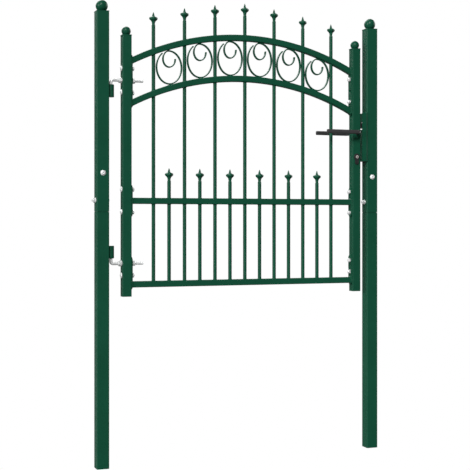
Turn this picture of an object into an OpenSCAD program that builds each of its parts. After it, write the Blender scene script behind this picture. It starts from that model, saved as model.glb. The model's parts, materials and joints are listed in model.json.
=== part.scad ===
// Garden gate: one leaf with an arched head between two ground-set posts.
// X runs along the gate from the hinge post to the lock post, Y to the back, Z up.
// The origin is on the line between the two post feet, halfway.

/* [Posts] */
// Width of each square post
post_w = 40; // [36:1:45]
// Wall of the post tube
post_wall = 2; // [1.5:0.5:3]
// Distance between the two post centres
post_pitch = 955; // [900:5:1100]
// Length of the lower post section, which goes into the ground
post_lower_h = 815; // [780:5:830]
// Height of the post tube's top above the foot
post_h = 1452; // [1420:2:1500]
// Gap between the two sections of a post
post_seam = 1; // [0:0.1:1.5]
// Length of the joining tube inside each post
spigot_h = 300; // [290:5:320]
// Diameter of the ball on a post cap
post_ball_d = 39; // [34:1:40]

/* [Leaf] */
// Width of each square stile
stile_w = 30; // [28:1:32]
// Wall of the stile tube
stile_wall = 1.5; // [1:0.5:2]
// Distance between the two stile centres
stile_pitch = 817; // [810:1:822]
// Height of the stiles' lower ends above the post feet
leaf_low = 544; // [530:2:552]
// Length of a stile tube
stile_h = 836; // [830:2:860]
// Hinge axis from the hinge post's face
hinge_reach = 10; // [9:0.5:10]
// Gap between the hinge post and the leaf
hinge_gap = 45; // [44:1:48]
// Diameter of the ball on a stile cap
stile_ball_d = 30; // [25:1:30]

/* [Rails] */
// Width of each square rail
rail_w = 20; // [18:1:22]
// Wall of the rail tubes
rail_wall = 1.5; // [1:0.5:2]
// Height of the bottom rail's centre
bottom_rail_z = 582.5; // [580:0.5:590]
// Height of the middle rail's centre
mid_rail_z = 851; // [840:1:860]
// Height of the upper arch's crown
arch_top = 1405.5; // [1400:0.5:1410]
// Outer radius of both arched rails
arch_r = 867; // [860:1:880]
// Drop from the upper arched rail to the lower one
arch_drop = 136; // [130:1:140]

/* [Bars] */
// Diameter of the bars
bar_d = 12; // [10:0.5:13]
// Distance between neighbouring long bars
bar_pitch = 105.75; // [104:0.25:107]
// Tip heights of the long bars, centre bar first, then outwards
bar_tips = [1511, 1500, 1482, 1462];
// Tip height of the short pickets
picket_tip = 958; // [940:1:980]
// Height of a finial
finial_h = 43; // [40:1:46]
// Widest part of a finial, corner to corner
finial_w = 29; // [24:1:30]

/* [Scrolls] */
// Width of a scroll
scroll_w = 89; // [80:1:90]
// Thickness of the scroll strip
strip_t = 4; // [2:0.5:5]
// Width of the scroll strip, front to back
strip_w = 10; // [6:1:12]
// Size of the inner curl as a share of the outer loop
curl_ratio = 0.49; // [0.45:0.01:0.55]
// Angle at which the outer loop stops, past its left side
scroll_end = 123; // [115:1:130]

/* [Lock] */
// Height of the lever spindle
spindle_z = 1091; // [1086:1:1092]
// Height of the key cylinder's centre
key_z = 1008; // [1004:1:1010]
// Length of a lever from its spindle to its tip
lever_l = 127; // [110:1:135]
// Distance of a lever's grip from the middle of the leaf
lever_y = 44; // [40:1:48]
// How far the latch sticks out of the lock's front plate
latch_out = 18.5; // [17:0.5:19]
// Thickness of the strike box
strike_t = 6; // [5:0.5:7]
// Height of the strike box
strike_h = 168; // [160:1:170]

/* [Hidden] */
$fn = 48;

green = "#184c38";
zinc = "#c4c8ca";
black = "#2b2c2e";
steel = "#9a9ea2";

// Main places along the gate
left_post_x = -post_pitch / 2;
right_post_x = post_pitch / 2;
hinge_x = left_post_x + post_w / 2 + hinge_reach;
left_stile_x = left_post_x + post_w / 2 + hinge_gap + stile_w / 2;
right_stile_x = left_stile_x + stile_pitch;
leaf_x = (left_stile_x + right_stile_x) / 2;
plate_t = 4;
plate_w = 25;
plate_cut = 8;
rail_half = stile_pitch / 2 - stile_w / 2 - plate_t;
arch_z = arch_top - arch_r;
corner_r = 2.5;

// Fasteners: M8 for the plates and splices, M10 for the hinge bolts
m8 = 8;
m8_hole = 9;
m8_flats = 13;
m8_head = 4.4;
m8_head_d = 17.5;
m8_socket = 5;
m8_nut = 6.5;
m8_washer_d = 16;
m8_washer_t = 1.6;
m10 = 10;
m10_hole = 11;
m10_flats = 16;
m10_nut = 8;
m10_washer_d = 18;
m10_washer_t = 2;
thread_gap = 0.05;
bar_gap = 0.15;
eps = 1;

// Heights of the bolts that hold the panel to the stiles
top_bolts = [1198, 1275];
mid_bolts = [815, 887];
low_bolt = 611.5;
hinge_bolts = [650, 1236.5];
plate_spans = [[567, 670], [801, 901], [1150, 1319.5]];

// Splices in the posts: one bolt along Y above one along X
spigot_low = post_lower_h - spigot_h / 2;
splice_y_z = 939;
splice_x_z = 852;

// Hinge barrels and the cranked bolts that hang in them
barrel_d = 2 * hinge_reach;
barrel_h = 40;
barrel_gap = 15;
crank_r = 7;
hinge_fit = 0.05;
barrel_zs = [hinge_bolts[0] + barrel_gap + 2, hinge_bolts[1] - barrel_gap - barrel_h];
leg_l = barrel_gap + barrel_h - 3;
hinge_bolt_end = 54;

// Lock, in the lock stile
forend_t = 2;
forend_w = 20;
forend_low = 970;
forend_h = 182;
forend_x = right_stile_x + stile_w / 2;
case_wall = 1;
case_half = 8;
case_low = 978;
case_h = 166;
case_x = right_stile_x - stile_w / 2 + stile_wall + 0.3;
bolt_half = 5.5;
latch_low = spindle_z + 16;
latch_h = 20;
dead_low = key_z + 14;
dead_h = 20;
fit = 0.3;
hub_r = 8;
hub_arm = 15;
hub_boss_r = 6.5;
spindle_w = 8;
neck_r = 6.5;
grip_round_r = 8.1;
plug_r = 5.5;
cam_r = 11;
cylinder_half = 19;
escutcheon_t = 3;
screw_d = 4;
screw_zs = [forend_low + 5, forend_low + forend_h - 5];
strike_w = 46;
strike_wall = 2;
strike_lip_l = 14;
strike_z = (latch_low + latch_h + dead_low) / 2 + 2.5;
strike_x = right_post_x - post_w / 2 - strike_t;

// ---- Shapes that repeat ----

module rounded_square(w, r) {
    square([w, w - 2 * r], center = true);
    square([w - 2 * r, w], center = true);
    for (x = [-1, 1], y = [-1, 1])
        translate([x, y] * (w / 2 - r)) circle(r);
}

module tube_section(w, wall) {
    difference() {
        rounded_square(w, corner_r);
        rounded_square(w - 2 * wall, max(corner_r - wall, 0.6));
    }
}

module upright_tube(w, wall, low, high) {
    translate([0, 0, low]) linear_extrude(high - low) tube_section(w, wall);
}

// A round bar along X, from x = 0
module x_rod(d, l) {
    rotate([0, 90, 0]) cylinder(d = d, h = l);
}

// A hexagon along X, from x = 0, measured across its flats
module x_hex(flats, l) {
    rotate([0, 90, 0]) cylinder(d = flats / cos(30), h = l, $fn = 6);
}

module x_nut(flats, l, d) {
    difference() {
        x_hex(flats, l);
        translate([-eps, 0, 0]) x_rod(d + 2 * thread_gap, l + 2 * eps);
    }
}

module x_washer(d_out, d_in, t) {
    difference() {
        x_rod(d_out, t);
        translate([-eps, 0, 0]) x_rod(d_in, t + 2 * eps);
    }
}

// A bolt along +X, with the underside of its flanged button head at x = 0
module x_bolt(l) {
    r = m8_head_d / 2;
    difference() {
        rotate([0, -90, 0]) rotate_extrude() polygon([[0, 0], [r, 0], [r, 1.2], [0.84 * r, 1.6],
            [0.78 * r, 2.6], [0.66 * r, 3.6], [0.48 * r, m8_head], [0, m8_head]]);
        translate([-m8_head - eps, 0, 0]) x_hex(m8_socket, 2.6 + eps);
    }
    x_rod(m8, l);
}

// A hole right through a tube, along X
module x_hole(d, z, w) {
    translate([-w, 0, z]) x_rod(d, 2 * w);
}

// A square cap: a plate a little wider than the tube, a ball that is sunk into the plate
// and a skirt that plugs the tube
module ball_cap(w, wall, ball_d, plate) {
    sunk = 3;
    overhang = 0.7;
    skirt = w - 2 * wall - 0.6;
    skirt_h = 18;
    linear_extrude(plate) rounded_square(w + 2 * overhang, corner_r);
    translate([0, 0, plate - sunk + ball_d / 2]) sphere(d = ball_d);
    translate([0, 0, -skirt_h]) linear_extrude(skirt_h + plate / 2) difference() {
        rounded_square(skirt, 1.5);
        rounded_square(skirt - 4, 0.6);
    }
}

// Euro cylinder outline in X and Z, grown by g
module euro_profile(g) {
    tail = 19.5;
    circle(8.5 + g);
    translate([-5 - g, -tail]) square([10 + 2 * g, tail]);
    translate([0, -tail]) circle(5 + g);
}

// An outline in X and Z, made y_low to y_high thick
module across(y_low, y_high) {
    translate([0, y_high, 0]) rotate([90, 0, 0]) linear_extrude(y_high - y_low) children();
}

// ---- Posts ----

module post_lower(x) {
    color(green) translate([x, 0, 0]) upright_tube(post_w, post_wall, 0, post_lower_h);
}

module post_upper(x) {
    color(green) translate([x, 0, 0]) difference() {
        upright_tube(post_w, post_wall, post_lower_h + post_seam, post_h);
        splice_holes();
    }
}

module splice_holes() {
    x_hole(m8_hole, splice_x_z, post_w);
    rotate([0, 0, 90]) x_hole(m8_hole, splice_y_z, post_w);
}

module post_spigot(x) {
    w = post_w - 2 * post_wall - 0.6;
    color(green) translate([x, 0, 0]) difference() {
        upright_tube(w, post_wall, spigot_low, spigot_low + spigot_h);
        splice_holes();
    }
}

module post_cap(x) {
    color(green) translate([x, 0, post_h]) ball_cap(post_w, post_wall, post_ball_d, 2);
}

// Places a child on each splice bolt's axis, pointing from head to nut along +X
module on_splices() {
    for (x = [left_post_x, right_post_x]) {
        translate([x, 0, splice_y_z]) rotate([0, 0, 90]) children();
        translate([x, 0, splice_x_z]) rotate([0, 0, 180]) children();
    }
}

module splice_bolts() {
    color(zinc) on_splices()
        translate([-post_w / 2, 0, 0]) x_bolt(post_w + m8_washer_t + m8_nut + 4);
}

module splice_nuts() {
    color(zinc) on_splices()
        translate([post_w / 2 + m8_washer_t, 0, 0]) x_nut(m8_flats, m8_nut, m8);
}

module splice_washers() {
    color(zinc) on_splices()
        translate([post_w / 2, 0, 0]) x_washer(m8_washer_d, m8 + 0.6, m8_washer_t);
}

// A hinge barrel, welded along one side to the hinge post
module hinge_barrel(low) {
    web = 8;
    color(green) translate([hinge_x, 0, low]) difference() {
        union() {
            cylinder(d = barrel_d, h = barrel_h);
            translate([-hinge_reach, -web / 2, 0]) cube([hinge_reach, web, barrel_h]);
        }
        translate([0, 0, -eps]) cylinder(d = m10 + 2 * hinge_fit, h = barrel_h + 2 * eps);
    }
}

// A shallow box with a closed pocket for the dead bolt and a latch pocket open at the back
module strike_plate() {
    pocket = bolt_half + 3;
    margin = 2.5;
    dead_margin = 5;
    color(green) difference() {
        translate([strike_x, -strike_w / 2, strike_z - strike_h / 2])
            cube([strike_t, strike_w, strike_h]);
        translate([strike_x + strike_wall, -strike_w / 2 + strike_wall,
            strike_z - strike_h / 2 + strike_wall])
            cube([strike_t, strike_w - 2 * strike_wall, strike_h - 2 * strike_wall]);
        translate([strike_x - eps, -pocket, dead_low - dead_margin])
            cube([strike_wall + 2 * eps, 2 * pocket, dead_h + 2 * dead_margin]);
        translate([strike_x - eps, -pocket, latch_low - margin])
            cube([strike_t + 2 * eps, pocket + strike_w, latch_h + 2 * margin]);
    }
}

// A strip along the strike's front edge that covers the latch's gap
module strike_lip() {
    color(green) translate([strike_x - strike_lip_l, -strike_w / 2, strike_z - strike_h / 2])
        cube([strike_lip_l, strike_wall, strike_h]);
}

// ---- Leaf frame ----

module left_stile() {
    color(green) translate([left_stile_x, 0, 0]) difference() {
        upright_tube(stile_w, stile_wall, leaf_low, leaf_low + stile_h);
        for (z = concat(top_bolts, mid_bolts, [low_bolt]))
            x_hole(m8_hole, z, stile_w);
        for (z = hinge_bolts)
            x_hole(m10_hole, z, stile_w);
    }
}

module right_stile() {
    color(green) translate([right_stile_x, 0, 0]) difference() {
        upright_tube(stile_w, stile_wall, leaf_low, leaf_low + stile_h);
        for (z = concat(top_bolts, mid_bolts, [low_bolt, hinge_bolts[0]]))
            x_hole(m8_hole, z, stile_w);
        x_hole(m10_hole, hinge_bolts[1], stile_w);
        translate([0, -case_half - 0.5, case_low - 1])
            cube([stile_w, 2 * case_half + 1, case_h + 2]);
        for (z = screw_zs)
            translate([stile_w / 2, 0, 0]) x_hole(screw_d + 0.4, z, stile_w / 3);
        translate([0, 0, key_z]) across(-stile_w, stile_w) euro_profile(0.6);
        translate([0, 0, spindle_z]) across(-stile_w, stile_w) circle(hub_boss_r + fit);
    }
}

module stile_cap(x) {
    color(green) translate([x, 0, leaf_low + stile_h])
        ball_cap(stile_w, stile_wall, stile_ball_d, 3);
}

// One end plate, standing on its inner face at x = 0, with its corners cut off
module end_plate(span, thick) {
    low = span[0];
    high = span[1];
    half = plate_w / 2;
    rotate([90, 0, 90]) linear_extrude(thick)
        polygon([[-half, low + plate_cut], [-half + plate_cut, low], [half - plate_cut, low],
            [half, low + plate_cut], [half, high - plate_cut], [half - plate_cut, high],
            [plate_cut - half, high], [-half, high - plate_cut]]);
}

module left_end_plates() {
    color(green) translate([left_stile_x + stile_w / 2, 0, 0]) difference() {
        for (span = plate_spans) end_plate(span, plate_t);
        for (z = concat(top_bolts, mid_bolts, [low_bolt])) x_hole(m8_hole, z, stile_w);
        for (z = hinge_bolts) x_hole(m10_hole, z, stile_w);
    }
}

module right_end_plates() {
    color(green) translate([right_stile_x - stile_w / 2 - plate_t, 0, 0]) difference() {
        for (span = plate_spans) end_plate(span, plate_t);
        for (z = concat(top_bolts, mid_bolts, [low_bolt, hinge_bolts[0]]))
            x_hole(m8_hole, z, stile_w);
        x_hole(m10_hole, hinge_bolts[1], stile_w);
    }
}

function long_x(i) = leaf_x + (i - 4) * bar_pitch;
function picket_x(i) = leaf_x + (i - 3.5) * bar_pitch;

// Vertical holes for all the bars that a rail carries
module bar_holes(low, high, pickets) {
    for (i = [1:7])
        translate([long_x(i), 0, low]) cylinder(d = bar_d + 2 * bar_gap, h = high - low);
    if (pickets)
        for (i = [1:6])
            translate([picket_x(i), 0, low]) cylinder(d = bar_d + 2 * bar_gap, h = high - low);
}

module arch_rail(drop) {
    sweep = asin(rail_half / (arch_r - rail_w)) + 1.5;
    color(green) difference() {
        intersection() {
            translate([leaf_x, 0, arch_z - drop]) rotate([90, 0, 0]) rotate([0, 0, 90 - sweep])
                rotate_extrude(angle = 2 * sweep, $fn = 180)
                    translate([arch_r - rail_w / 2, 0]) tube_section(rail_w, rail_wall);
            translate([leaf_x - rail_half, -rail_w, arch_z - drop])
                cube([2 * rail_half, 2 * rail_w, arch_r + rail_w]);
        }
        bar_holes(arch_z - drop, arch_z - drop + arch_r + rail_w, false);
    }
}

module upper_arch_rail() { arch_rail(0); }
module lower_arch_rail() { arch_rail(arch_drop); }

module straight_rail(z) {
    translate([leaf_x - rail_half, 0, z]) rotate([90, 0, 90])
        linear_extrude(2 * rail_half) tube_section(rail_w, rail_wall);
}

module mid_rail() {
    color(green) difference() {
        straight_rail(mid_rail_z);
        bar_holes(mid_rail_z - rail_w, mid_rail_z + rail_w, true);
    }
}

// The bars stand on the bottom rail's floor, so only its upper wall is pierced
module bottom_rail() {
    color(green) difference() {
        straight_rail(bottom_rail_z);
        bar_holes(bottom_rail_z, bottom_rail_z + rail_w, true);
    }
}

// ---- Bars, finials and scrolls ----

bar_foot = bottom_rail_z - rail_w / 2 + rail_wall;

module bar(x, tip) {
    color(green) translate([x, 0, bar_foot]) cylinder(d = bar_d, h = tip - finial_h - bar_foot);
}

module long_bar(i) { bar(long_x(i), bar_tips[abs(i - 4)]); }
module short_picket(i) { bar(picket_x(i), picket_tip); }

// Half outline of a finial, tip at z = 0: a spike, a flared collar and a waist
function finial_side() = let (w = finial_w / 2, b = bar_d / 2)
    [[0.6, 0], [0.21 * w, -5], [0.30 * w, -12], [0.33 * w, -15], [0.86 * w, -18.4],
    [w, -20.6], [0.95 * w, -22.8], [0.55 * w, -27.4], [0.83 * b, -33]];

// Four-sided cast point on a round foot
module finial() {
    side = finial_side();
    flat = [for (p = side) [p[0] / sqrt(2), p[1]]];
    back = [for (i = [len(flat) - 1:-1:0]) [-flat[i][0], flat[i][1]]];
    rotate([0, 0, 45]) intersection_for (a = [0, 90])
        rotate([90, 0, a]) linear_extrude(finial_w, center = true) polygon(concat(flat, back));
    waist = 0.8 * bar_d / 2;
    rotate_extrude() polygon([[0, -finial_h], [bar_d / 2, -finial_h], [bar_d / 2, -finial_h + 1.5],
        [waist, -finial_h + 4], [waist + 0.4, -33], [0.6 * waist, -28], [0, -28]]);
}

module finials() {
    color(green) {
        for (i = [1:7]) translate([long_x(i), 0, bar_tips[abs(i - 4)]]) finial();
        for (i = [1:6]) translate([picket_x(i), 0, picket_tip]) finial();
    }
}

// Rail surfaces above and below a scroll, and the slope of both there
function upper_soffit(x) = arch_z + sqrt(pow(arch_r - rail_w, 2) - pow(x - leaf_x, 2));
function lower_crown(x) = arch_z - arch_drop + sqrt(pow(arch_r, 2) - pow(x - leaf_x, 2));
function arch_slope(x) = (x - leaf_x) / sqrt(pow(arch_r, 2) - pow(x - leaf_x, 2));
weld_gap = 0.15;

// Half height of the scroll that just fits between the two sloping rails
function scroll_half(x) = let (g = (upper_soffit(x) - lower_crown(x)) / 2 - weld_gap,
    s = arch_slope(x) * scroll_w / 2) sqrt(g * g - s * s);

function ellipse_arc(cz, a, b, from, to, steps) =
    [for (k = [0:steps]) let (t = from + (to - from) * k / steps) [a * cos(t), cz + b * sin(t)]];

// Middle line of a scroll: curl from its tip round to the top, then the outer loop
function scroll_line(a, b) = concat(
    ellipse_arc(b * (1 - curl_ratio), a * curl_ratio, b * curl_ratio, 2, -268, 22),
    ellipse_arc(0, a, b, 84, scroll_end - 360, 44));

function unit(v) = v / norm(v);
function along(p, i) = unit(p[min(i + 1, len(p) - 1)] - p[max(i - 1, 0)]);
function beside(p, i, d) = let (t = along(p, i)) p[i] + d * [-t[1], t[0]];

module strip(line) {
    n = len(line) - 1;
    across(-strip_w / 2, strip_w / 2) polygon(concat(
        [for (i = [0:n]) beside(line, i, strip_t / 2)],
        [for (i = [n:-1:0]) beside(line, i, -strip_t / 2)]));
}

module scrolls() {
    color(green) for (i = [1:6])
        let (x = picket_x(i), half = scroll_half(x) - strip_t / 2)
            translate([x, 0, (upper_soffit(x) + lower_crown(x)) / 2])
                strip(scroll_line(scroll_w / 2 - strip_t / 2, half));
}

// ---- Panel and hinge fasteners ----

// Places a child at each panel bolt on the stile's outer face, pointing into the leaf
module on_panel_bolts() {
    for (z = concat(top_bolts, mid_bolts, [low_bolt])) {
        translate([left_stile_x - stile_w / 2, 0, z]) children();
        translate([right_stile_x + stile_w / 2, 0, z]) rotate([0, 0, 180]) children();
    }
    translate([right_stile_x + stile_w / 2, 0, hinge_bolts[0]]) rotate([0, 0, 180]) children();
}

panel_grip = stile_w + plate_t;

module panel_bolts() { color(zinc) on_panel_bolts() x_bolt(panel_grip + m8_nut + 1.5); }

module panel_nuts() {
    color(zinc) on_panel_bolts() translate([panel_grip, 0, 0]) x_nut(m8_flats, m8_nut, m8);
}

// A cranked bolt: its leg turns in the barrel, its rod goes through the stile
module hinge_bolt(z, up) {
    rod_l = left_stile_x + stile_w / 2 + hinge_bolt_end - 13 - hinge_x - crank_r;
    color(zinc) translate([hinge_x, 0, z]) mirror([0, 0, up ? 0 : 1]) {
        translate([crank_r, 0, 0]) x_rod(m10, rod_l);
        translate([crank_r, 0, crank_r]) rotate([90, 0, 0])
            rotate_extrude(angle = 90, start = 180) translate([crank_r, 0]) circle(d = m10);
        translate([0, 0, crank_r]) cylinder(d = m10, h = leg_l - crank_r);
    }
}

module hinge_bolt_top() { hinge_bolt(hinge_bolts[1], false); }
module hinge_bolt_bottom() { hinge_bolt(hinge_bolts[0], true); }

hinge_nut_xs = [left_stile_x - stile_w / 2 - m10_washer_t - m10_nut,
    left_stile_x + stile_w / 2 + plate_t + m10_washer_t];
hinge_washer_xs = [left_stile_x - stile_w / 2 - m10_washer_t,
    left_stile_x + stile_w / 2 + plate_t];

module hinge_nuts() {
    color(zinc) for (z = hinge_bolts, x = hinge_nut_xs)
        translate([x, 0, z]) x_nut(m10_flats, m10_nut, m10);
}

module hinge_washers() {
    color(zinc) for (z = hinge_bolts, x = hinge_washer_xs)
        translate([x, 0, z]) x_washer(m10_washer_d, m10 + 0.6, m10_washer_t);
}

// ---- Lock ----

// Openings in the lock's side walls for the hub and the key cylinder
module lock_side_cuts() {
    translate([right_stile_x, 0, spindle_z]) across(-stile_w, stile_w) circle(hub_boss_r + fit);
    translate([right_stile_x, 0, key_z]) across(-stile_w, stile_w) euro_profile(0.3);
}

// A tray open at the front side, closed by the cover, and at its end, closed by the front plate
module lock_case() {
    color(steel) difference() {
        translate([case_x, -case_half + case_wall, case_low])
            cube([forend_x - case_x, 2 * case_half - case_wall, case_h]);
        translate([case_x + case_wall, -case_half, case_low + case_wall])
            cube([stile_w, 2 * case_half - case_wall, case_h - 2 * case_wall]);
        lock_side_cuts();
    }
}

module lock_cover() {
    color(steel) difference() {
        translate([case_x, -case_half, case_low]) cube([forend_x - case_x, case_wall, case_h]);
        lock_side_cuts();
    }
}

cylinder_screw_z = key_z - 18;
cylinder_screw_d = 5;

module forend_hole(z, d) {
    translate([forend_x, 0, 0]) x_hole(d, z, stile_w / 3);
}

module lock_forend() {
    color(steel) difference() {
        translate([forend_x, -forend_w / 2, forend_low]) cube([forend_t, forend_w, forend_h]);
        translate([forend_x - eps, -bolt_half - fit, latch_low - fit])
            cube([forend_t + 2 * eps, 2 * (bolt_half + fit), latch_h + 2 * fit]);
        translate([forend_x - eps, -bolt_half - fit, dead_low - fit])
            cube([forend_t + 2 * eps, 2 * (bolt_half + fit), dead_h + 2 * fit]);
        for (z = screw_zs) forend_hole(z, screw_d + 0.4);
        forend_hole(cylinder_screw_z, cylinder_screw_d + 0.4);
    }
}

// Two short screws for the front plate and the long one that holds the key cylinder
module lock_screws() {
    color(zinc) {
        for (z = screw_zs) translate([forend_x, 0, z]) lock_screw(screw_d, 8);
        translate([forend_x, 0, cylinder_screw_z]) lock_screw(cylinder_screw_d, 14);
    }
}

module lock_screw(d, l) {
    head = 2;
    slot = 1.2;
    translate([-l + forend_t, 0, 0]) x_rod(d, l);
    translate([forend_t, 0, 0]) difference() {
        x_rod(d + 4, head);
        translate([head / 2, -slot / 2, -d]) cube([head, slot, 2 * d]);
    }
}

module cylinder_body() {
    slot = 5;
    color(steel) difference() {
        translate([right_stile_x, 0, key_z]) across(-cylinder_half, cylinder_half) euro_profile(0);
        translate([right_stile_x, 0, key_z])
            across(-cylinder_half - eps, cylinder_half + eps) circle(plug_r + 0.05);
        translate([right_stile_x - 10, -slot, key_z - cam_r - 0.6])
            cube([20, 2 * slot, cam_r + 20]);
        translate([right_stile_x, 0, cylinder_screw_z]) x_rod(cylinder_screw_d + 0.4, 12);
    }
}

module cylinder_escutcheons() {
    color(black) translate([right_stile_x, 0, key_z]) difference() {
        union() for (y = [-stile_w / 2 - escutcheon_t, stile_w / 2])
            across(y, y + escutcheon_t) euro_profile(2.2);
        across(-2 * stile_w, 2 * stile_w) euro_profile(0.2);
    }
}

// The plug with its keyway and, in the middle, the cam that drives the dead bolt
module key_plug() {
    cam_half = 4.6;
    keyway_w = 2.2;
    color(zinc) translate([right_stile_x, 0, key_z]) difference() {
        union() {
            across(-cylinder_half - 0.5, cylinder_half + 0.5) circle(plug_r);
            across(-cam_half, cam_half) circle(8);
            across(-cam_half, cam_half) intersection() {
                circle(cam_r);
                translate([-4, -cam_r]) square([8, cam_r]);
            }
        }
        for (side = [-1, 1])
            translate([-keyway_w / 2, side * cylinder_half - 6, -4.5]) cube([keyway_w, 12, 9]);
    }
}

// The latch: a bevelled head and a hook that the hub's arm pulls
module latch_bolt() {
    tip_x = forend_x + forend_t + latch_out;
    tail_x = case_x + case_wall + 10.3;
    hook_t = 2.4;
    bevel = 12;
    color(steel) {
        translate([0, 0, latch_low]) linear_extrude(latch_h)
            polygon([[tail_x, -bolt_half], [tip_x - bevel, -bolt_half], [tip_x, bolt_half - 2],
                [tip_x, bolt_half], [tail_x, bolt_half]]);
        translate([tail_x, -bolt_half, latch_low - 5]) cube([hook_t, 2 * bolt_half, 6]);
    }
}

module dead_bolt() {
    tail_x = case_x + case_wall + 0.7;
    color(steel) translate([tail_x, -bolt_half, dead_low])
        cube([forend_x + forend_t + 0.5 - tail_x, 2 * bolt_half, dead_h]);
}

// The hub that the spindle turns, with one arm up to the latch's hook
module spindle_hub() {
    arm_tilt = 18;
    color(steel) translate([right_stile_x, 0, spindle_z]) difference() {
        union() {
            across(-case_half + case_wall + fit, case_half - case_wall - fit) circle(hub_r);
            across(-case_half, case_half) circle(hub_boss_r);
            across(-4, 4) rotate(-arm_tilt) translate([-2, 0]) square([4, hub_arm]);
        }
        across(-stile_w, stile_w) square(spindle_w + 0.2, center = true);
    }
}

// Torsion spring round the hub, of square wire, with its two legs
module return_spring() {
    wire = 1.2;
    leg = 14;
    inner_r = hub_r + 0.7;
    color(zinc) translate([right_stile_x, 0, spindle_z]) across(4.8, 4.8 + wire) {
        difference() {
            circle(inner_r + wire);
            circle(inner_r);
        }
        for (x = [-inner_r - wire, inner_r]) translate([x, -leg]) square([wire, leg]);
    }
}

module spindle() {
    half = lever_y - 6;
    color(zinc) translate([right_stile_x - spindle_w / 2, -half, spindle_z - spindle_w / 2])
        cube([spindle_w, 2 * half, spindle_w]);
}

// Side outline of a lever in X and Z: round at the spindle, tapering to a blunt tip
module lever_outline() {
    tip_half = 7;
    tip_r = 3;
    circle(neck_r);
    polygon([[0, neck_r], [-lever_l + tip_r, tip_half], [-lever_l + tip_r, -tip_half],
        [0, -neck_r]]);
    for (s = [-1, 1])
        translate([-lever_l + tip_r, s * (tip_half - tip_r)]) circle(tip_r);
    translate([-lever_l, -tip_half + tip_r]) square([tip_r, 2 * (tip_half - tip_r)]);
}

// A lever on the front side: a round neck on the stile and a flat oval grip
module lever() {
    grip_half = 5.5;
    difference() {
        union() {
            translate([0, -lever_y, 0]) intersection() {
                across(-grip_half, grip_half) lever_outline();
                translate([-lever_l - eps, 0, 0]) rotate([90, 0, 90])
                    linear_extrude(lever_l + 2 * neck_r) intersection() {
                        circle(grip_round_r);
                        square([2 * grip_half, 3 * neck_r], center = true);
                    }
            }
            across(-lever_y, -stile_w / 2 - 0.4) circle(neck_r);
        }
        across(-lever_y + 5.8, 0) square(spindle_w + 0.2, center = true);
    }
}

module lever_front() {
    color(black) translate([right_stile_x, 0, spindle_z]) lever();
}

module lever_rear() {
    color(black) translate([right_stile_x, 0, spindle_z]) mirror([0, 1, 0]) lever();
}

// ---- Nodes ----

post_lower(left_post_x);  // left_post_lower
post_lower(right_post_x);  // right_post_lower
post_upper(left_post_x);  // left_post_upper
post_upper(right_post_x);  // right_post_upper
post_spigot(left_post_x);  // left_post_spigot
post_spigot(right_post_x);  // right_post_spigot
post_cap(left_post_x);  // left_post_cap
post_cap(right_post_x);  // right_post_cap
splice_bolts();
splice_nuts();
splice_washers();
hinge_barrel(barrel_zs[1]);  // hinge_barrel_top
hinge_barrel(barrel_zs[0]);  // hinge_barrel_bottom
strike_plate();
strike_lip();
left_stile();
right_stile();
stile_cap(left_stile_x);  // left_stile_cap
stile_cap(right_stile_x);  // right_stile_cap
left_end_plates();
right_end_plates();
upper_arch_rail();
lower_arch_rail();
mid_rail();
bottom_rail();
for (i = [1:7]) long_bar(i);
for (i = [1:6]) short_picket(i);
finials();
scrolls();
panel_bolts();
panel_nuts();
hinge_bolt_top();
hinge_bolt_bottom();
hinge_nuts();
hinge_washers();
lock_case();
lock_cover();
lock_forend();
lock_screws();
cylinder_body();
cylinder_escutcheons();
lever_front();
lever_rear();
spindle();
spindle_hub();
return_spring();
latch_bolt();
dead_bolt();
key_plug();
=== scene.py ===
import json
import math
import random

import bmesh
import bpy
from mathutils import Matrix, Vector


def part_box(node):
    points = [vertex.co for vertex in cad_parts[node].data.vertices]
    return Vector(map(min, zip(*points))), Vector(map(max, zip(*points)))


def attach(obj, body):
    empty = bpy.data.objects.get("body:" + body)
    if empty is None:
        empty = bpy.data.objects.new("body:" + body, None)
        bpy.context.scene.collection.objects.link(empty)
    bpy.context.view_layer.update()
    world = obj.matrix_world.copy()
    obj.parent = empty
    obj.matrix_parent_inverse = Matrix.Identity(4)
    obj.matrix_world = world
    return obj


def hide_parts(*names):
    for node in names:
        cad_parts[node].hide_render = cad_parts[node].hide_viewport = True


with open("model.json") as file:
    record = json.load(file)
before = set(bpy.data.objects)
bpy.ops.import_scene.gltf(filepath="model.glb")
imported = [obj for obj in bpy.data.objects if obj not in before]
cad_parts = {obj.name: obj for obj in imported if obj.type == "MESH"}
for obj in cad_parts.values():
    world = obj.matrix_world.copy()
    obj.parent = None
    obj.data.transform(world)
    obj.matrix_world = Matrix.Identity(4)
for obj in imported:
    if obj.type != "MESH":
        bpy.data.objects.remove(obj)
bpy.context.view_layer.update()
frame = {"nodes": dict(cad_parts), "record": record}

# Garden gate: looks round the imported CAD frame. +X runs from the hinge post to the lock post,
# +Y to the back, +Z up. Lengths are in metres, and MM turns millimetres into metres.
MM = 0.001
X, Y, Z = Vector((1, 0, 0)), Vector((0, 1, 0)), Vector((0, 0, 1))

# ---- Places that come from the frame ----


def solids(node):
    """The box of each separate solid of a CAD node, sorted along X, then Z."""
    bm = bmesh.new()
    bm.from_mesh(frame["nodes"][node].data)
    bmesh.ops.remove_doubles(bm, verts=bm.verts, dist=1e-6)
    left = set(bm.verts)
    boxes = []
    while left:
        todo = [left.pop()]
        island = list(todo)
        while todo:
            for edge in todo.pop().link_edges:
                for v in edge.verts:
                    if v in left:
                        left.remove(v)
                        todo.append(v)
                        island.append(v)
        low = Vector([min(v.co[k] for v in island) for k in range(3)])
        high = Vector([max(v.co[k] for v in island) for k in range(3)])
        boxes.append((low, high))
    bm.free()
    return sorted(boxes, key=lambda b: (round(b[0].x, 4), round(b[0].z, 4)))


def middle(box):
    return (box[0] + box[1]) / 2


def size(box):
    return box[1] - box[0]


# ---- Mesh building ----


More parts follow.
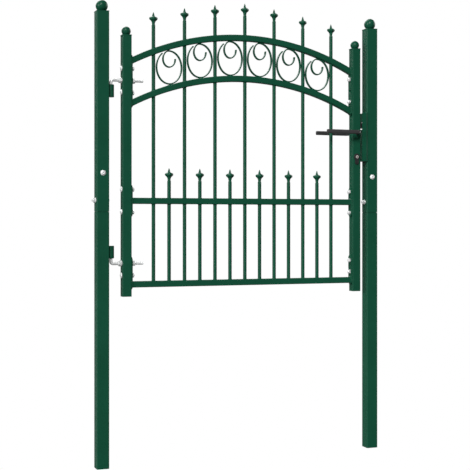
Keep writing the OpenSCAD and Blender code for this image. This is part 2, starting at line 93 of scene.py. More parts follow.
def place(origin, direction, spin=0.0):
    """A matrix that puts local +Z along direction at origin, after a turn about local Z."""
    turn = Vector(direction).to_track_quat("Z", "Y").to_matrix().to_4x4()
    return Matrix.Translation(origin) @ turn @ Matrix.Rotation(spin, 4, "Z")


def loft(bm, rings, closed=False, capped=True, matrix=None):
    """Quads between rings of equally many points; a closed loft joins its last ring to its first."""
    rows = [[bm.verts.new(matrix @ Vector(p) if matrix else p) for p in ring] for ring in rings]
    pairs = list(zip(rows, rows[1:]))
    if closed:
        pairs.append((rows[-1], rows[0]))
    for a, b in pairs:
        for i in range(len(a)):
            j = (i + 1) % len(a)
            bm.faces.new((a[i], a[j], b[j], b[i]))
    if capped and not closed:
        bm.faces.new(list(reversed(rows[0])))
        bm.faces.new(rows[-1])


def circle(r, z, n=32):
    return [Vector((r * math.cos(2 * math.pi * k / n), r * math.sin(2 * math.pi * k / n), z))
            for k in range(n)]


def lathe(bm, outline, matrix, n=32, closed=False):
    """Turns an outline of (radius, height) points about local Z."""
    loft(bm, [circle(r, h, n) for r, h in outline], closed=closed, matrix=matrix)


def arc(cx, cy, r, start, end, steps):
    """Points on a circle from one angle to another, in degrees."""
    angles = [math.radians(start + (end - start) * k / steps) for k in range(steps + 1)]
    return [(cx + r * math.cos(a), cy + r * math.sin(a)) for a in angles]


def rounded_square(w, r, steps=5):
    """Outline of a square of side w with corners of radius r, in XY."""
    c = w / 2 - r
    points = []
    for k, (sx, sy) in enumerate([(1, 1), (-1, 1), (-1, -1), (1, -1)]):
        points += arc(sx * c, sy * c, r, 90 * k, 90 * k + 90, steps)
    return points


def piece(name, bm, body, slot, replaced=(), smooth=35):
    """Makes an object of bm that rides on a body, with the finish of a material slot."""
    bmesh.ops.remove_doubles(bm, verts=bm.verts, dist=1e-7)
    bmesh.ops.dissolve_degenerate(bm, edges=bm.edges, dist=1e-7)
    bmesh.ops.recalc_face_normals(bm, faces=bm.faces)
    mesh = bpy.data.meshes.new(name)
    bm.to_mesh(mesh)
    bm.free()
    mesh.polygons.foreach_set("use_smooth", [True] * len(mesh.polygons))
    mesh.set_sharp_from_angle(angle=math.radians(smooth))
    mesh.materials.append(FINISH[slot])
    obj = bpy.data.objects.new(name, mesh)
    bpy.context.scene.collection.objects.link(obj)
    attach(obj, body)
    if replaced:
        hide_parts(*replaced)
    return obj


# ---- Materials ----


def new_material(name, rough, metal, specular):
    material = bpy.data.materials.new(name)
    material.use_nodes = True
    shader = material.node_tree.nodes["Principled BSDF"]
    shader.inputs["Roughness"].default_value = rough
    shader.inputs["Metallic"].default_value = metal
    shader.inputs["Specular IOR Level"].default_value = specular
    return material, material.node_tree, shader


def noise(tree, scale, detail=3.0, stretch=(1, 1, 1)):
    """Noise over the object's own coordinates; scale is in features per metre."""
    where = tree.nodes.new("ShaderNodeTexCoord")
    mapping = tree.nodes.new("ShaderNodeMapping")
    mapping.inputs["Scale"].default_value = stretch
    tree.links.new(where.outputs["Object"], mapping.inputs["Vector"])
    texture = tree.nodes.new("ShaderNodeTexNoise")
    texture.inputs["Scale"].default_value = scale
    texture.inputs["Detail"].default_value = detail
    tree.links.new(mapping.outputs["Vector"], texture.inputs["Vector"])
    return texture.outputs["Fac"]


def spread(tree, value, low, high, start=0.3, end=0.7):
    """Maps a noise value to the range low to high."""
    node = tree.nodes.new("ShaderNodeMapRange")
    node.inputs["From Min"].default_value = start
    node.inputs["From Max"].default_value = end
    node.inputs["To Min"].default_value = low
    node.inputs["To Max"].default_value = high
    tree.links.new(value, node.inputs["Value"])
    return node.outputs["Result"]


def mixed(tree, value, dark, light):
    """A colour between dark and light, by value."""
    node = tree.nodes.new("ShaderNodeMix")
    node.data_type = "RGBA"
    node.inputs["A"].default_value = (*dark, 1)
    node.inputs["B"].default_value = (*light, 1)
    tree.links.new(value, node.inputs["Factor"])
    return node.outputs["Result"]


def bumped(tree, shader, layers):
    """Stacks bumps: each layer is a height value and its depth in metres."""
    normal = None
    for height, depth in layers:
        node = tree.nodes.new("ShaderNodeBump")
        node.inputs["Distance"].default_value = depth
        tree.links.new(height, node.inputs["Height"])
        if normal:
            tree.links.new(normal, node.inputs["Normal"])
        normal = node.outputs["Normal"]
    tree.links.new(normal, shader.inputs["Normal"])


def powder_coat(name, dark, light, rough, peel, specular=0.12):
    """Baked powder paint: faint mottling, uneven gloss and an orange-peel surface."""
    material, tree, shader = new_material(name, rough, 0.0, specular)
    mottle = spread(tree, noise(tree, 9, 4), 0, 1)
    tree.links.new(mixed(tree, mottle, dark, light), shader.inputs["Base Color"])
    gloss = spread(tree, noise(tree, 45, 3), rough - 0.05, rough + 0.06)
    tree.links.new(gloss, shader.inputs["Roughness"])
    bumped(tree, shader, [(noise(tree, 420, 2), peel), (noise(tree, 1500, 1), peel * 0.25)])
    return material


def plated(name, dark, light, rough, metal, grain=(1, 1, 1), depth=0.01):
    """Plated or brushed metal: cloudy colour, uneven gloss and a fine grain."""
    material, tree, shader = new_material(name, rough, metal, 0.5)
    cloud = spread(tree, noise(tree, 160, 4), 0, 1)
    tree.links.new(mixed(tree, cloud, dark, light), shader.inputs["Base Color"])
    gloss = spread(tree, noise(tree, 500, 3, grain), rough - 0.06, rough + 0.08)
    tree.links.new(gloss, shader.inputs["Roughness"])
    bumped(tree, shader, [(noise(tree, 1800, 2, grain), depth * MM)])
    return material


FINISH = {
    "green_powder_coat": powder_coat("green_powder_coat", (0.0034, 0.049, 0.0252),
                                     (0.0042, 0.056, 0.0292), 0.42, 0.010 * MM),
    "green_cap": powder_coat("green_cap", (0.0034, 0.047, 0.0245), (0.0042, 0.054, 0.0285),
                             0.33, 0.006 * MM),
    "zinc": plated("zinc", (0.62, 0.63, 0.63), (0.74, 0.75, 0.75), 0.42, 0.40),
    "lock_steel": plated("lock_steel", (0.50, 0.51, 0.52), (0.62, 0.63, 0.64), 0.36, 0.85,
                         (1, 1, 0.08)),
    "nickel": plated("nickel", (0.66, 0.64, 0.60), (0.78, 0.76, 0.72), 0.30, 0.8),
    "black_trim": powder_coat("black_trim", (0.016, 0.016, 0.0165), (0.022, 0.022, 0.0225),
                              0.5, 0.010 * MM),
    "black_lever": powder_coat("black_lever", (0.026, 0.026, 0.0265), (0.034, 0.034, 0.0345),
                               0.36, 0.010 * MM, 0.3),
}


def finish_cad_nodes():
    """Gives each CAD node its procedural material, by the slot that the record names."""
    slot_of = {p["node"]: p["material_slot"] for p in frame["record"]["subparts"]}
    for name, node in frame["nodes"].items():
        for holder in node.material_slots:
            holder.material = FINISH[slot_of[name]]


def soften_edges(names, width, segments=2):
    """Rounds the sharp edges of CAD nodes with modifiers, which leave their meshes as they are."""
    for name in names:
        node = frame["nodes"][name]
        weld = node.modifiers.new("weld", "WELD")
        weld.merge_threshold = 1e-6
        bevel = node.modifiers.new("bevel", "BEVEL")
        bevel.width = width
        bevel.segments = segments
        bevel.limit_method = "ANGLE"
        bevel.angle_limit = math.radians(40)
        bevel.use_clamp_overlap = True
        normals = node.modifiers.new("normals", "WEIGHTED_NORMAL")
        normals.keep_sharp = False
        normals.weight = 80


# ---- Fasteners ----

M8, M10 = 8 * MM, 10 * MM
M8_FLATS, M10_FLATS = 13 * MM, 16 * MM
M8_PITCH, M10_PITCH = 1.25 * MM, 1.5 * MM
M8_HEAD, M8_HEAD_R = 4.4 * MM, 8.75 * MM
M8_SOCKET, M8_SOCKET_DEPTH = 5 * MM, 2.6 * MM
HEX_STEPS = 8
FACE_SHARE = 0.475
M8_WASHER_D, M10_WASHER_D = 16 * MM, 18 * MM
WASHER_PLAY = 0.6 * MM
PANEL_BOLT_MAX_L = 52 * MM


def hex_ring(flats, z, chamfer=0):
    """A hexagon with points along its sides; chamfer 1 lowers its corners and -1 raises them."""
    points = []
    for k in range(6 * HEX_STEPS):
        a = 2 * math.pi * k / (6 * HEX_STEPS)
        off = (a + math.pi / 6) % (math.pi / 3) - math.pi / 6
        r = flats / 2 / math.cos(off)
        drop = (r - FACE_SHARE * flats) * math.tan(math.radians(30))
        points.append(Vector((r * math.cos(a), r * math.sin(a), z - chamfer * drop)))
    return points


def hex_nut(bm, flats, height, bore, matrix):
    """A nut from local z = 0 up, chamfered at both faces and countersunk at its bore."""
    n = 6 * HEX_STEPS
    face = FACE_SHARE * flats
    sink = 0.5 * MM
    loft(bm, [circle(bore / 2 + sink, 0, n), circle(face, 0, n), hex_ring(flats, 0, -1),
              hex_ring(flats, height, 1), circle(face, height, n),
              circle(bore / 2 + sink, height, n), circle(bore / 2, height - sink, n),
              circle(bore / 2, sink, n)], closed=True, matrix=matrix)


def thread_rings(d, pitch, low, high, n=24, per_turn=6):
    """Rings of a right-hand thread between two heights, chamfered at its upper end."""
    depth = 0.61 * pitch
    count = max(2, round((high - low) / pitch * per_turn))
    rings = []
    for k in range(count + 1):
        z = low + (high - low) * k / count
        ring = []
        for i in range(n):
            turn = (z / pitch - i / n) % 1
            wave = abs(2 * turn - 1)
            fade = min(1, (z - low) / pitch)
            r = d / 2 - depth * fade * min(1, 1.25 * wave)
            r = min(r, d / 2 - depth + (high - z))
            a = 2 * math.pi * i / n
            ring.append(Vector((r * math.cos(a), r * math.sin(a), z)))
        rings.append(ring)
    return rings


def button_bolt(bm, length, matrix, thread=15 * MM):
    """An M8 bolt from local z = 0: flanged button head with a hex socket, shank and thread."""
    n = 6 * HEX_STEPS
    floor = M8_SOCKET_DEPTH
    rings = [circle(0.1 * MM, floor + 0.5 * MM, n), hex_ring(M8_SOCKET, floor),
             hex_ring(M8_SOCKET, 0.25 * MM), circle(0.62 * M8_SOCKET, 0, n)]
    dome = [(0.42, 0.0), (0.5, 0.14), (0.58, 0.4), (0.66, 0.8), (0.73, 1.35), (0.78, 1.95),
            (0.81, 2.5), (0.84, 2.8), (0.9, 3.0), (0.97, 3.2), (1.0, 3.5), (1.0, 4.2), (0.98, 4.4)]
    rings += [circle(share * M8_HEAD_R, depth * MM, n) for share, depth in dome]
    rings.append(circle(0.3 * M8_HEAD_R, M8_HEAD, n))
    loft(bm, rings, matrix=matrix)
    start = length - thread
    lathe(bm, [(M8 / 2, M8_HEAD), (M8 / 2, start)], matrix, 24)
    loft(bm, thread_rings(M8, M8_PITCH, start, length), matrix=matrix)


def washer(bm, d_out, d_in, t, matrix):
    edge = 0.25 * MM
    lathe(bm, [(d_in / 2, 0), (d_out / 2 - edge, 0), (d_out / 2, edge), (d_out / 2, t - edge),
               (d_out / 2 - edge, t), (d_in / 2, t)], matrix, 48, closed=True)


def long_axis(box):
    extent = size(box)
    return max(range(3), key=lambda k: extent[k])


def short_axis(box):
    extent = size(box)
    return min(range(3), key=lambda k: extent[k])


def bolt_direction(box):
    """From head to nut: to the back along Y; along X, +X only on the left of the leaf."""
    if long_axis(box) == 1:
        return Y
    on_leaf = size(box).x < PANEL_BOLT_MAX_L
    on_left = middle(box).x < 0
    return X if on_leaf and on_left else -X


def bolts(node, body):
    bm = bmesh.new()
    for k, box in enumerate(solids(node)):
        direction = bolt_direction(box)
        start = middle(box) - direction * max(size(box)) / 2
        button_bolt(bm, max(size(box)), place(start, direction, math.radians(17 + 43 * k)))
    return piece(node + "_threaded", bm, body, "zinc", [node])


def nuts(node, body, flats, d):
    bm = bmesh.new()
    for k, box in enumerate(solids(node)):
        axis = (X, Y, Z)[short_axis(box)]
        height = min(size(box))
        start = middle(box) - axis * height / 2
        hex_nut(bm, flats, height, d - 0.1 * MM, place(start, axis, math.radians(11 + 37 * k)))
    return piece(node + "_chamfered", bm, body, "zinc", [node])


def washers(node, body, d_out, d_in):
    bm = bmesh.new()
    for box in solids(node):
        axis = (X, Y, Z)[short_axis(box)]
        t = min(size(box))
        washer(bm, d_out, d_in, t, place(middle(box) - axis * t / 2, axis))
    return piece(node + "_edged", bm, body, "zinc", [node])


def hinge_bolt(node, up):
    """A cranked bolt swept in XZ: a leg in the barrel, a bend, and a rod that ends in a thread."""
    low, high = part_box(node)
    r = M10 / 2
    bend = 7 * MM
    thread_l = 62 * MM
    axis_x = low.x + r
    rod_z = low.z + r if up else high.z - r
    sign = 1 if up else -1
    leg_end = high.z if up else low.z
    corner = (axis_x + bend, rod_z + sign * bend)
    path = [(axis_x, leg_end), (axis_x, leg_end - sign * 1 * MM)]
    path += [(corner[0] + bend * math.cos(a), corner[1] + sign * bend * math.sin(a))
             for a in [math.radians(180 + 90 * k / 10) for k in range(11)]]
    path += [(high.x - thread_l, rod_z)]
    rings = []
    n = 24
    for k, (x, z) in enumerate(path):
        here = Vector((x, 0, z))
        before = Vector((path[max(k - 1, 0)][0], 0, path[max(k - 1, 0)][1]))
        after_k = min(k + 1, len(path) - 1)
        after = Vector((path[after_k][0], 0, path[after_k][1]))
        along = (after - before).normalized()
        side = along.cross(Y)
        radius = r - 0.8 * MM if k == 0 else r
        rings.append([here + (side * math.cos(2 * math.pi * i / n)
                              + Y * math.sin(2 * math.pi * i / n)) * radius for i in range(n)])
    bm = bmesh.new()
    loft(bm, rings)
    loft(bm, thread_rings(M10, M10_PITCH, 0, thread_l), matrix=place((high.x - thread_l, 0, rod_z), X))
    return piece(node + "_threaded", bm, "leaf", "zinc", [node])


# ---- Finials ----


def finial_ring(half, squareness, z, n=40):
    """A ring between a circle (squareness 2) and a diamond with its corners on X and Y (1)."""
    points = []
    for k in range(n):
        a = 2 * math.pi * k / n
        c, s = abs(math.cos(a)), abs(math.sin(a))
        r = half / (c ** squareness + s ** squareness) ** (1 / squareness)
        points.append(Vector((r * math.cos(a), r * math.sin(a), z)))
    return points


# Cast point from its tip down: depth, half width and squareness of each ring, in millimetres
FINIAL = [(0, 0.4, 1.5), (1.2, 1.0, 1.3), (4, 2.2, 1.2), (8, 3.5, 1.15), (12, 4.5, 1.15),
          (13.6, 5.2, 1.15), (14.8, 7.4, 1.2), (16, 11.2, 1.3), (17.4, 13.6, 1.35),
          (19, 14.4, 1.4), (20.8, 14.45, 1.4), (22.6, 14.1, 1.4), (24.2, 13.0, 1.35),
          (25.8, 11.2, 1.3), (27.6, 9.0, 1.3), (29.6, 7.3, 1.35), (31.8, 6.2, 1.5),
          (34, 5.6, 1.7), (36, 5.1, 2), (38.5, 4.9, 2), (40.5, 5.1, 2), (41.6, 5.8, 2),
          (43, 6.0, 2)]


def finials():
    for k, box in enumerate(solids("finials")):
        tip = Vector((middle(box).x, 0, box[1].z))
        stretch = size(box).z / (FINIAL[-1][0] * MM)
        bm = bmesh.new()
        loft(bm, [finial_ring(half * MM, squareness, -depth * stretch * MM)
                  for depth, half, squareness in FINIAL], matrix=Matrix.Translation(tip))
        piece("finial_%02d" % (k + 1), bm, "leaf", "green_powder_coat", ["finials"], smooth=50)


# ---- Arched rails, scrolls and weld beads ----

ARCH_R = 867 * MM
RAIL = 20 * MM
UPPER, LOWER = "upper_arch_rail", "lower_arch_rail"
leaf_x = middle(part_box(UPPER)).x
arch_centre = {name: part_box(name)[1].z - ARCH_R for name in (UPPER, LOWER)}


def arch_z(name, x, radius):
    """Height of an arched rail's surface of that radius at x."""
    return arch_centre[name] + math.sqrt(radius ** 2 - (x - leaf_x) ** 2)


def arch_slope(x, radius):
    return -(x - leaf_x) / math.sqrt(radius ** 2 - (x - leaf_x) ** 2)


STRIP_T, STRIP_W = 4 * MM, 10 * MM
CURL_SHARE = 0.49
SCROLL_END = 123


def ellipse(cz, a, b, start, end, steps):
    angles = [math.radians(start + (end - start) * k / steps) for k in range(steps + 1)]
    return [Vector((a * math.cos(t), 0, cz + b * math.sin(t))) for t in angles]


def scroll_line(a, b):
    """Middle line of a scroll: from the curl's tip round to the top, then the outer loop."""
    curl = ellipse(b * (1 - CURL_SHARE), a * CURL_SHARE, b * CURL_SHARE, 2, -268, 60)
    loop = ellipse(0, a, b, 88, SCROLL_END - 360, 110)
    return curl + loop


def strip_rings(line):
    """A flat strip with rounded edges along a line in XZ."""
    edge = 0.9 * MM
    half_t, half_w = STRIP_T / 2, STRIP_W / 2
    outline = []
    for k, (st, sw) in enumerate([(1, 1), (-1, 1), (-1, -1), (1, -1)]):
        outline += arc(st * (half_t - edge), sw * (half_w - edge), edge, 90 * k, 90 * k + 90, 3)
    rings = []
    for k, here in enumerate(line):
        along = (line[min(k + 1, len(line) - 1)] - line[max(k - 1, 0)]).normalized()
        across = along.cross(Y)
        rings.append([here + across * t + Y * w for t, w in outline])
    return rings


def scrolls():
    for k, box in enumerate(solids("scrolls")):
        bm = bmesh.new()
        half = size(box) / 2
        line = scroll_line(half.x - STRIP_T / 2, half.z - STRIP_T / 2)
        loft(bm, strip_rings(line), matrix=Matrix.Translation(middle(box)))
        piece("scroll_%d" % (k + 1), bm, "leaf", "green_powder_coat", ["scrolls"], smooth=50)


dice = random.Random(7)


def bead(bm, points, r, closed=False, n=10, ripple=0.10):
    """A weld bead: a rippled round run along points, half sunk in its corner."""
    rings = []
    last = len(points) - 1
    for k, here in enumerate(points):
        before = points[k - 1] if closed or k else here
        after = points[(k + 1) % (last + 1)] if closed or k < last else here
        along = (after - before).normalized()
        side = along.orthogonal().normalized() if abs(along.z) > 0.99 else along.cross(Z).normalized()
        up = side.cross(along)
        swell = r * (1 + ripple * math.sin(2.1 * k) + dice.uniform(-ripple, ripple) / 2)
        if not closed and k in (0, last):
            swell *= 0.55
        rings.append([here + (side * math.cos(2 * math.pi * i / n)
                              + up * math.sin(2 * math.pi * i / n)) * swell for i in range(n)])
    loft(bm, rings, closed=closed)


def bar_collar(bm, x, r, z, slope=0.0):
    """A fillet ring round a bar where it meets a rail surface of that slope."""
    n = 28
    reach = r + 0.3 * MM
    points = []
    for k in range(n):
        a = 2 * math.pi * k / n
        dx = reach * math.cos(a)
        points.append(Vector((x + dx, reach * math.sin(a), z + slope * dx)))
    bead(bm, points, 1.1 * MM, closed=True, n=8)


def bar_welds():
    """Fillets where the bars pass through the rails."""
    bm = bmesh.new()
    longs = sorted(n for n in frame["nodes"] if n.startswith("long_bar"))
    shorts = sorted(n for n in frame["nodes"] if n.startswith("short_picket"))
    for name in longs + shorts:
        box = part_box(name)
        x, r = middle(box).x, size(box).x / 2
        mid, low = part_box("mid_rail"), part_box("bottom_rail")
        for z in (mid[0].z, mid[1].z, low[1].z):
            bar_collar(bm, x, r, z)
        if name in longs:
            for rail in (UPPER, LOWER):
                for radius in (ARCH_R, ARCH_R - RAIL):
                    bar_collar(bm, x, r, arch_z(rail, x, radius), arch_slope(x, radius))
    piece("bar_welds", bm, "leaf", "green_powder_coat")


def run(a, b, step=1.6 * MM):
    """Points in a straight run from a to b."""
    count = max(2, round((b - a).length / step))
    return [a.lerp(b, k / count) for k in range(count + 1)]


def rail_end_welds():
    """A bead all round each rail where it meets its end plate."""
    bm = bmesh.new()
    half, corner = RAIL / 2, 2.5 * MM
    for rail in (UPPER, LOWER, "mid_rail", "bottom_rail"):
        low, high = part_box(rail)
        for x in (low.x, high.x):
            if rail in arch_centre:
                z_low, z_high = arch_z(rail, x, ARCH_R - RAIL), arch_z(rail, x, ARCH_R)
            else:
                z_low, z_high = low.z, high.z
            zm, zh = (z_low + z_high) / 2, (z_high - z_low) / 2
            ring = [Vector((x, y, zm + z * zh / half)) for y, z in rounded_square(RAIL, corner, 3)]
            path = []
            for a, b in zip(ring, ring[1:] + ring[:1]):
                path += run(a, b)[:-1] if (b - a).length > 2 * MM else [a]
            bead(bm, path, 1.5 * MM, closed=True)
    piece("rail_end_welds", bm, "leaf", "green_powder_coat")


def scroll_welds():
    """Tacks in front and behind where each scroll touches the rails."""
    half, out = 5 * MM, 3.2 * MM
    bm = bmesh.new()
    for box in solids("scrolls"):
        x = middle(box).x
        for rail, radius in ((UPPER, ARCH_R - RAIL), (LOWER, ARCH_R)):
            slope = arch_slope(x, radius)
            for y in (-1, 1):
                start = Vector((x - half, y * out, arch_z(rail, x, radius) - half * slope))
                end = Vector((x + half, y * out, arch_z(rail, x, radius) + half * slope))
                bead(bm, run(start, end), 1.2 * MM)
    piece("scroll_welds", bm, "leaf", "green_powder_coat")


def post_welds():
    """Beads that hold the hinge barrels and the strike box to the posts."""
    bm = bmesh.new()
    for node in ("hinge_barrel_top", "hinge_barrel_bottom"):
        low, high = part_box(node)
        for y in (-4.2 * MM, 4.2 * MM):
            bead(bm, run(Vector((low.x + 0.4 * MM, y, low.z)), Vector((low.x + 0.4 * MM, y, high.z))),
                 1.8 * MM)
    half = 15 * MM
    low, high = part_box("strike_plate")
    for z in (low.z, high.z):
        bead(bm, run(Vector((high.x, -half, z)), Vector((high.x, half, z))), 1.6 * MM)
    piece("post_welds", bm, "posts", "green_powder_coat")


def nosed_strip(x0, x1, y0, y1, z, n=5):
    """Outline of a strip from y1 to a round nose at y0, at one height."""
    r = min((x1 - x0) / 2, y1 - y0)
    mid = (x0 + x1) / 2
    nose = [Vector((mid - r * math.cos(math.pi * k / n), y0 + r * (1 - math.sin(math.pi * k / n)), z))
            for k in range(n + 1)]
    return [Vector((x0, y1, z)), *nose, Vector((x1, y1, z))]


def strike_painted_shade_strip():
    """Black strip on the strike's front edge, between the strike and the post: painted shade that stands
    for the dark shadow line along that edge.
    """
    low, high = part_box("strike_plate")
    inset, proud, depth = 3 * MM, 0.3 * MM, 1.5 * MM
    x0, x1 = low.x + 1.2 * MM, high.x - 0.2 * MM
    bm = bmesh.new()
    loft(bm, [nosed_strip(x0, x1, low.y - proud, low.y + depth, z)
              for z in (low.z + inset, high.z - inset)])
    piece("strike_painted_shade_strip", bm, "posts", "black_trim")


def hinge_barrel(node):
    """The tube that the cranked bolt turns in, with its weld-on web."""
    low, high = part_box(node)
    outer = size((low, high)).y / 2
    bore = M10 / 2 + 0.05 * MM
    edge = 0.6 * MM
    h = high.z - low.z
    axis_x = high.x - outer
    bm = bmesh.new()
    lathe(bm, [(bore + edge, 0), (outer - edge, 0), (outer, edge), (outer, h - edge),
               (outer - edge, h), (bore + edge, h), (bore, h - edge), (bore, edge)],
          Matrix.Translation((axis_x, 0, low.z)), 48, closed=True)
    web = 4 * MM
    x_in = axis_x - outer * 0.85
    ends = [(low.z + 0.3 * MM, web - 0.4 * MM), (low.z + 0.7 * MM, web), (high.z - 0.7 * MM, web),
            (high.z - 0.3 * MM, web - 0.4 * MM)]
    loft(bm, [[Vector((low.x, -w, z)), Vector((x_in, -w, z)), Vector((x_in, w, z)),
               Vector((low.x, w, z))] for z, w in ends])
    piece(node + "_turned", bm, "posts", "green_powder_coat", [node])


# ---- Caps ----

POST_BALL_D, STILE_BALL_D = 39 * MM, 30 * MM


def ball_cap(node, ball_d, plate_t):
    """A moulded cap: a rounded plate, a ball with a small cove at its foot, and a skirt with a wider band
    under the plate.
    """
    body = "posts" if "post" in node else "leaf"
    low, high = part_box(node)
    centre_x = (low.x + high.x) / 2
    w = high.x - low.x
    r = ball_d / 2
    ball_z = high.z - r
    sunk_z = high.z - ball_d + 3 * MM
    base = sunk_z - plate_t
    edge = 0.7 * MM
    bm = bmesh.new()
    shape = [(w - 2 * edge, 0), (w - 0.6 * edge, 0.15 * edge), (w, edge * 0.7),
             (w, plate_t - edge), (w - 0.6 * edge, plate_t - 0.3 * edge), (w - 2 * edge, plate_t)]
    loft(bm, [[Vector((centre_x + x, y, base + z)) for x, y in rounded_square(side, 2.6 * MM)]
              for side, z in shape])
    foot = math.acos(min(1, (ball_z - sunk_z - 0.9 * MM) / r))
    foot_r = r * math.sin(foot)
    outline = [(foot_r + 1.3 * MM, sunk_z - 0.2 * MM), (foot_r + 0.5 * MM, sunk_z + 0.2 * MM),
               (foot_r + 0.1 * MM, sunk_z + 0.55 * MM)]
    steps = 30
    for k in range(steps + 1):
        a = foot + (math.pi - foot) * k / steps
        outline.append((r * math.sin(a), ball_z - r * math.cos(a)))
    lathe(bm, outline, Matrix.Translation((centre_x, 0, 0)), 56)
    skirt = w - 8.4 * MM if body == "posts" else w - 5.2 * MM
    for z0, z1, side in ((low.z, base, skirt - 1 * MM), (base - 4 * MM, base, skirt)):
        loft(bm, [[Vector((centre_x + x, y, z)) for x, y in rounded_square(side, 1.5 * MM)]
                  for z in (z0, z1)])
    piece(node + "_moulded", bm, body, "green_cap", [node])


# ---- Levers and lock trim ----

LEVER_NECK_R = 6.5 * MM
PLUG_HEAD_R, RIM_W = 8.5 * MM, 2.2 * MM


def lever(node, side):
    """A lever swept from its neck round an elbow into a flat oval grip; side is -1 at the front."""
    low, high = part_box(node)
    neck = LEVER_NECK_R
    spindle_x, z0 = high.x - neck, (low.z + high.z) / 2
    foot_y = high.y if side < 0 else low.y
    grip_y = (low.y if side < 0 else high.y) - side * 5.5 * MM
    length = spindle_x - low.x
    elbow = 13 * MM
    # Stations: x from the spindle, y, direction angle, half thickness, half height, squareness
    stations = []
    for t in (0.0, 0.02, 0.3, 0.6, 1.0):
        y = foot_y + (grip_y - side * elbow - foot_y) * t
        waist = neck - (0.6 * MM if 0.1 < t < 0.9 else 0) - (0.4 * MM if t == 0 else 0)
        stations.append((0, y, 0, waist, waist, 2.0))
    for k in range(1, 10):
        a = math.radians(90 * k / 9)
        share = k / 9
        stations.append((-elbow * (1 - math.cos(a)), grip_y - side * elbow * (1 - math.sin(a)), 90 * k / 9,
                         neck - 1.1 * share * MM, (6.4 + 0.5 * share) * MM, 2.0 + 0.6 * share))
    reach = length - elbow
    for k in range(1, 17):
        t = k / 16
        swell = math.sin(math.pi * t)
        stations.append((-elbow - (reach - 3 * MM) * t, grip_y, 90, (5.3 - 0.5 * t) * MM,
                         (6.9 + 0.1 * swell) * MM, 2.6))
    for k in range(1, 6):
        a = math.radians(90 * k / 5)
        shrink = max(math.cos(a), 0.02) ** 0.7
        stations.append((-length + 3 * MM * (1 - math.sin(a)), grip_y, 90, 4.8 * MM * shrink,
                         6.9 * MM - 2.5 * MM * (1 - shrink), 2.6))
    rings = []
    n = 36
    for x, y, angle, thick, tall, power in stations:
        a = math.radians(angle)
        across = Vector((math.cos(a), side * math.sin(a), 0))
        ring = []
        for i in range(n):
            t = 2 * math.pi * i / n
            c, s = math.cos(t), math.sin(t)
            scale = (abs(c) ** power + abs(s) ** power) ** (-1 / power)
            ring.append(Vector((spindle_x + x, y, z0)) + across * thick * c * scale
                        + Z * tall * s * scale)
        rings.append(ring)
    bm = bmesh.new()
    loft(bm, rings)
    piece(node + "_shaped", bm, "handle", "black_lever", [node], smooth=60)


def euro_outline(grow):
    """Euro cylinder outline in XZ about the plug's centre, grown by that much."""
    tail = 19.5 * MM
    r_head, r_tail = PLUG_HEAD_R + grow, 5 * MM + grow
    meet = math.degrees(math.asin(r_tail / r_head))
    head = arc(0, 0, r_head, -90 + meet, 270 - meet, 40)
    foot = arc(0, -tail, r_tail, 180, 360, 20)
    return head + foot


def escutcheons():
    """Keyhole-shaped rims round the cylinder, with rounded outer edges."""
    node = "cylinder_escutcheons"
    low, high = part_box(node)
    centre = Vector(((low.x + high.x) / 2, 0, high.z - PLUG_HEAD_R - RIM_W))
    bm = bmesh.new()
    stile_face = size(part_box("right_stile")).y / 2
    t = high.y - stile_face
    steps = [(0.2, 0.0), (2.2, 0.0), (2.2, t - 0.8 * MM), (1.95, t - 0.25 * MM), (1.4, t),
             (0.7, t), (0.2, t - 0.4 * MM)]
    for side in (-1, 1):
        loft(bm, [[centre + Vector((x, side * (stile_face + depth), z))
                   for x, z in euro_outline(grow * MM)] for grow, depth in steps], closed=True)
    piece("escutcheon_rims", bm, "leaf", "black_trim", [node], smooth=50)


# ---- Build ----

finish_cad_nodes()
soften_edges(["left_end_plates", "right_end_plates", "strike_plate"], 0.7 * MM, 3)
soften_edges(["lock_forend", "lock_screws", "latch_bolt", "dead_bolt", "cylinder_body",
              "key_plug"], 0.35 * MM)
bolts("panel_bolts", "leaf")
nuts("panel_nuts", "leaf", M8_FLATS, M8)
bolts("splice_bolts", "posts")
nuts("splice_nuts", "posts", M8_FLATS, M8)
washers("splice_washers", "posts", M8_WASHER_D, M8 + WASHER_PLAY)
hinge_bolt("hinge_bolt_top", False)
hinge_bolt("hinge_bolt_bottom", True)
nuts("hinge_nuts", "leaf", M10_FLATS, M10)
washers("hinge_washers", "leaf", M10_WASHER_D, M10 + WASHER_PLAY)
hinge_barrel("hinge_barrel_top")
hinge_barrel("hinge_barrel_bottom")
finials()
scrolls()
bar_welds()
rail_end_welds()
scroll_welds()
post_welds()
# a black strip of painted shade along the strike's front edge
strike_painted_shade_strip()
for cap in ("left_post_cap", "right_post_cap"):
    ball_cap(cap, POST_BALL_D, 2 * MM)
for cap in ("left_stile_cap", "right_stile_cap"):
    ball_cap(cap, STILE_BALL_D, 3 * MM)
lever("lever_front", -1)
lever("lever_rear", 1)
escutcheons()

# ---- Camera, light and floor ----


def make_camera():
    """Level, about halfway up the gate, to its left and turned towards it."""
    data = bpy.data.cameras.new("camera")
    data.sensor_width = 36
    data.lens = 84.745
    data.shift_x = 0.01166
    data.shift_y = -0.02928
    camera = bpy.data.objects.new("camera", data)
    camera.location = (-1.3246, -3.4420, 0.7854)
    camera.rotation_euler = (math.radians(90), 0, math.radians(-20.415))
    bpy.context.scene.collection.objects.link(camera)
    bpy.context.scene.camera = camera


def sun(name, azimuth, elevation, strength, softness):
    """A wide soft sun; azimuth 0 shines from the front and 90 from the left."""
    data = bpy.data.lights.new(name, "SUN")
    data.energy = strength
    data.angle = math.radians(softness)
    light = bpy.data.objects.new(name, data)
    a, e = math.radians(azimuth), math.radians(elevation)
    source = Vector((-math.sin(a) * math.cos(e), -math.cos(a) * math.cos(e), math.sin(e)))
    light.rotation_euler = source.to_track_quat("Z", "Y").to_euler()
    bpy.context.scene.collection.objects.link(light)


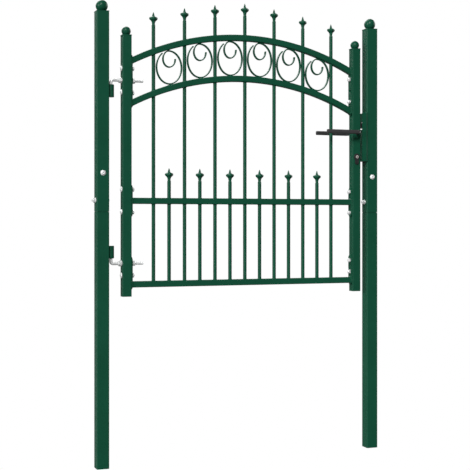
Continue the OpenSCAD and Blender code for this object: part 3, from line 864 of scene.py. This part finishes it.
def make_world():
    """White where the camera sees it, and a dim even light for the surfaces."""
    world = bpy.data.worlds.new("studio")
    world.use_nodes = True
    tree = world.node_tree
    tree.nodes.clear()
    seen, lit = tree.nodes.new("ShaderNodeBackground"), tree.nodes.new("ShaderNodeBackground")
    seen.inputs["Color"].default_value = (1, 1, 1, 1)
    lit.inputs["Color"].default_value = (1, 1, 1, 1)
    lit.inputs["Strength"].default_value = 0.12
    path, mix = tree.nodes.new("ShaderNodeLightPath"), tree.nodes.new("ShaderNodeMixShader")
    output = tree.nodes.new("ShaderNodeOutputWorld")
    tree.links.new(path.outputs["Is Camera Ray"], mix.inputs["Fac"])
    tree.links.new(lit.outputs["Background"], mix.inputs[1])
    tree.links.new(seen.outputs["Background"], mix.inputs[2])
    tree.links.new(mix.outputs["Shader"], output.inputs["Surface"])
    bpy.context.scene.world = world


def make_floor():
    """A pale floor: white where the camera sees it, and dim for the surfaces."""
    bm = bmesh.new()
    half = 30
    loft(bm, [[Vector((x, y, z)) for x, y in ((-half, -half), (half, -half), (half, half), (-half, half))]
              for z in (-0.02, -0.0005)])
    mesh = bpy.data.meshes.new("floor")
    bm.to_mesh(mesh)
    bm.free()
    material, tree, shader = new_material("pale_floor", 0.8, 0.0, 0.1)
    speck = spread(tree, noise(tree, 4, 3), 0, 1)
    tree.links.new(mixed(tree, speck, (0.14, 0.14, 0.14), (0.16, 0.16, 0.16)),
                   shader.inputs["Base Color"])
    output = tree.nodes["Material Output"]
    path, white = tree.nodes.new("ShaderNodeLightPath"), tree.nodes.new("ShaderNodeEmission")
    mix = tree.nodes.new("ShaderNodeMixShader")
    tree.links.new(path.outputs["Is Camera Ray"], mix.inputs["Fac"])
    tree.links.new(shader.outputs["BSDF"], mix.inputs[1])
    tree.links.new(white.outputs["Emission"], mix.inputs[2])
    tree.links.new(mix.outputs["Shader"], output.inputs["Surface"])
    mesh.materials.append(material)
    floor = bpy.data.objects.new("floor", mesh)
    bpy.context.scene.collection.objects.link(floor)


make_camera()
make_world()
make_floor()
sun("key", 28, 32, 3.6, 22)
sun("left_strip", 75, 8, 2.0, 25)
sun("back", 170, 40, 3.4, 50)
sun("right", 255, 15, 2.0, 40)
bpy.context.scene.view_settings.view_transform = "Standard"
bpy.context.scene.view_settings.look = "None"
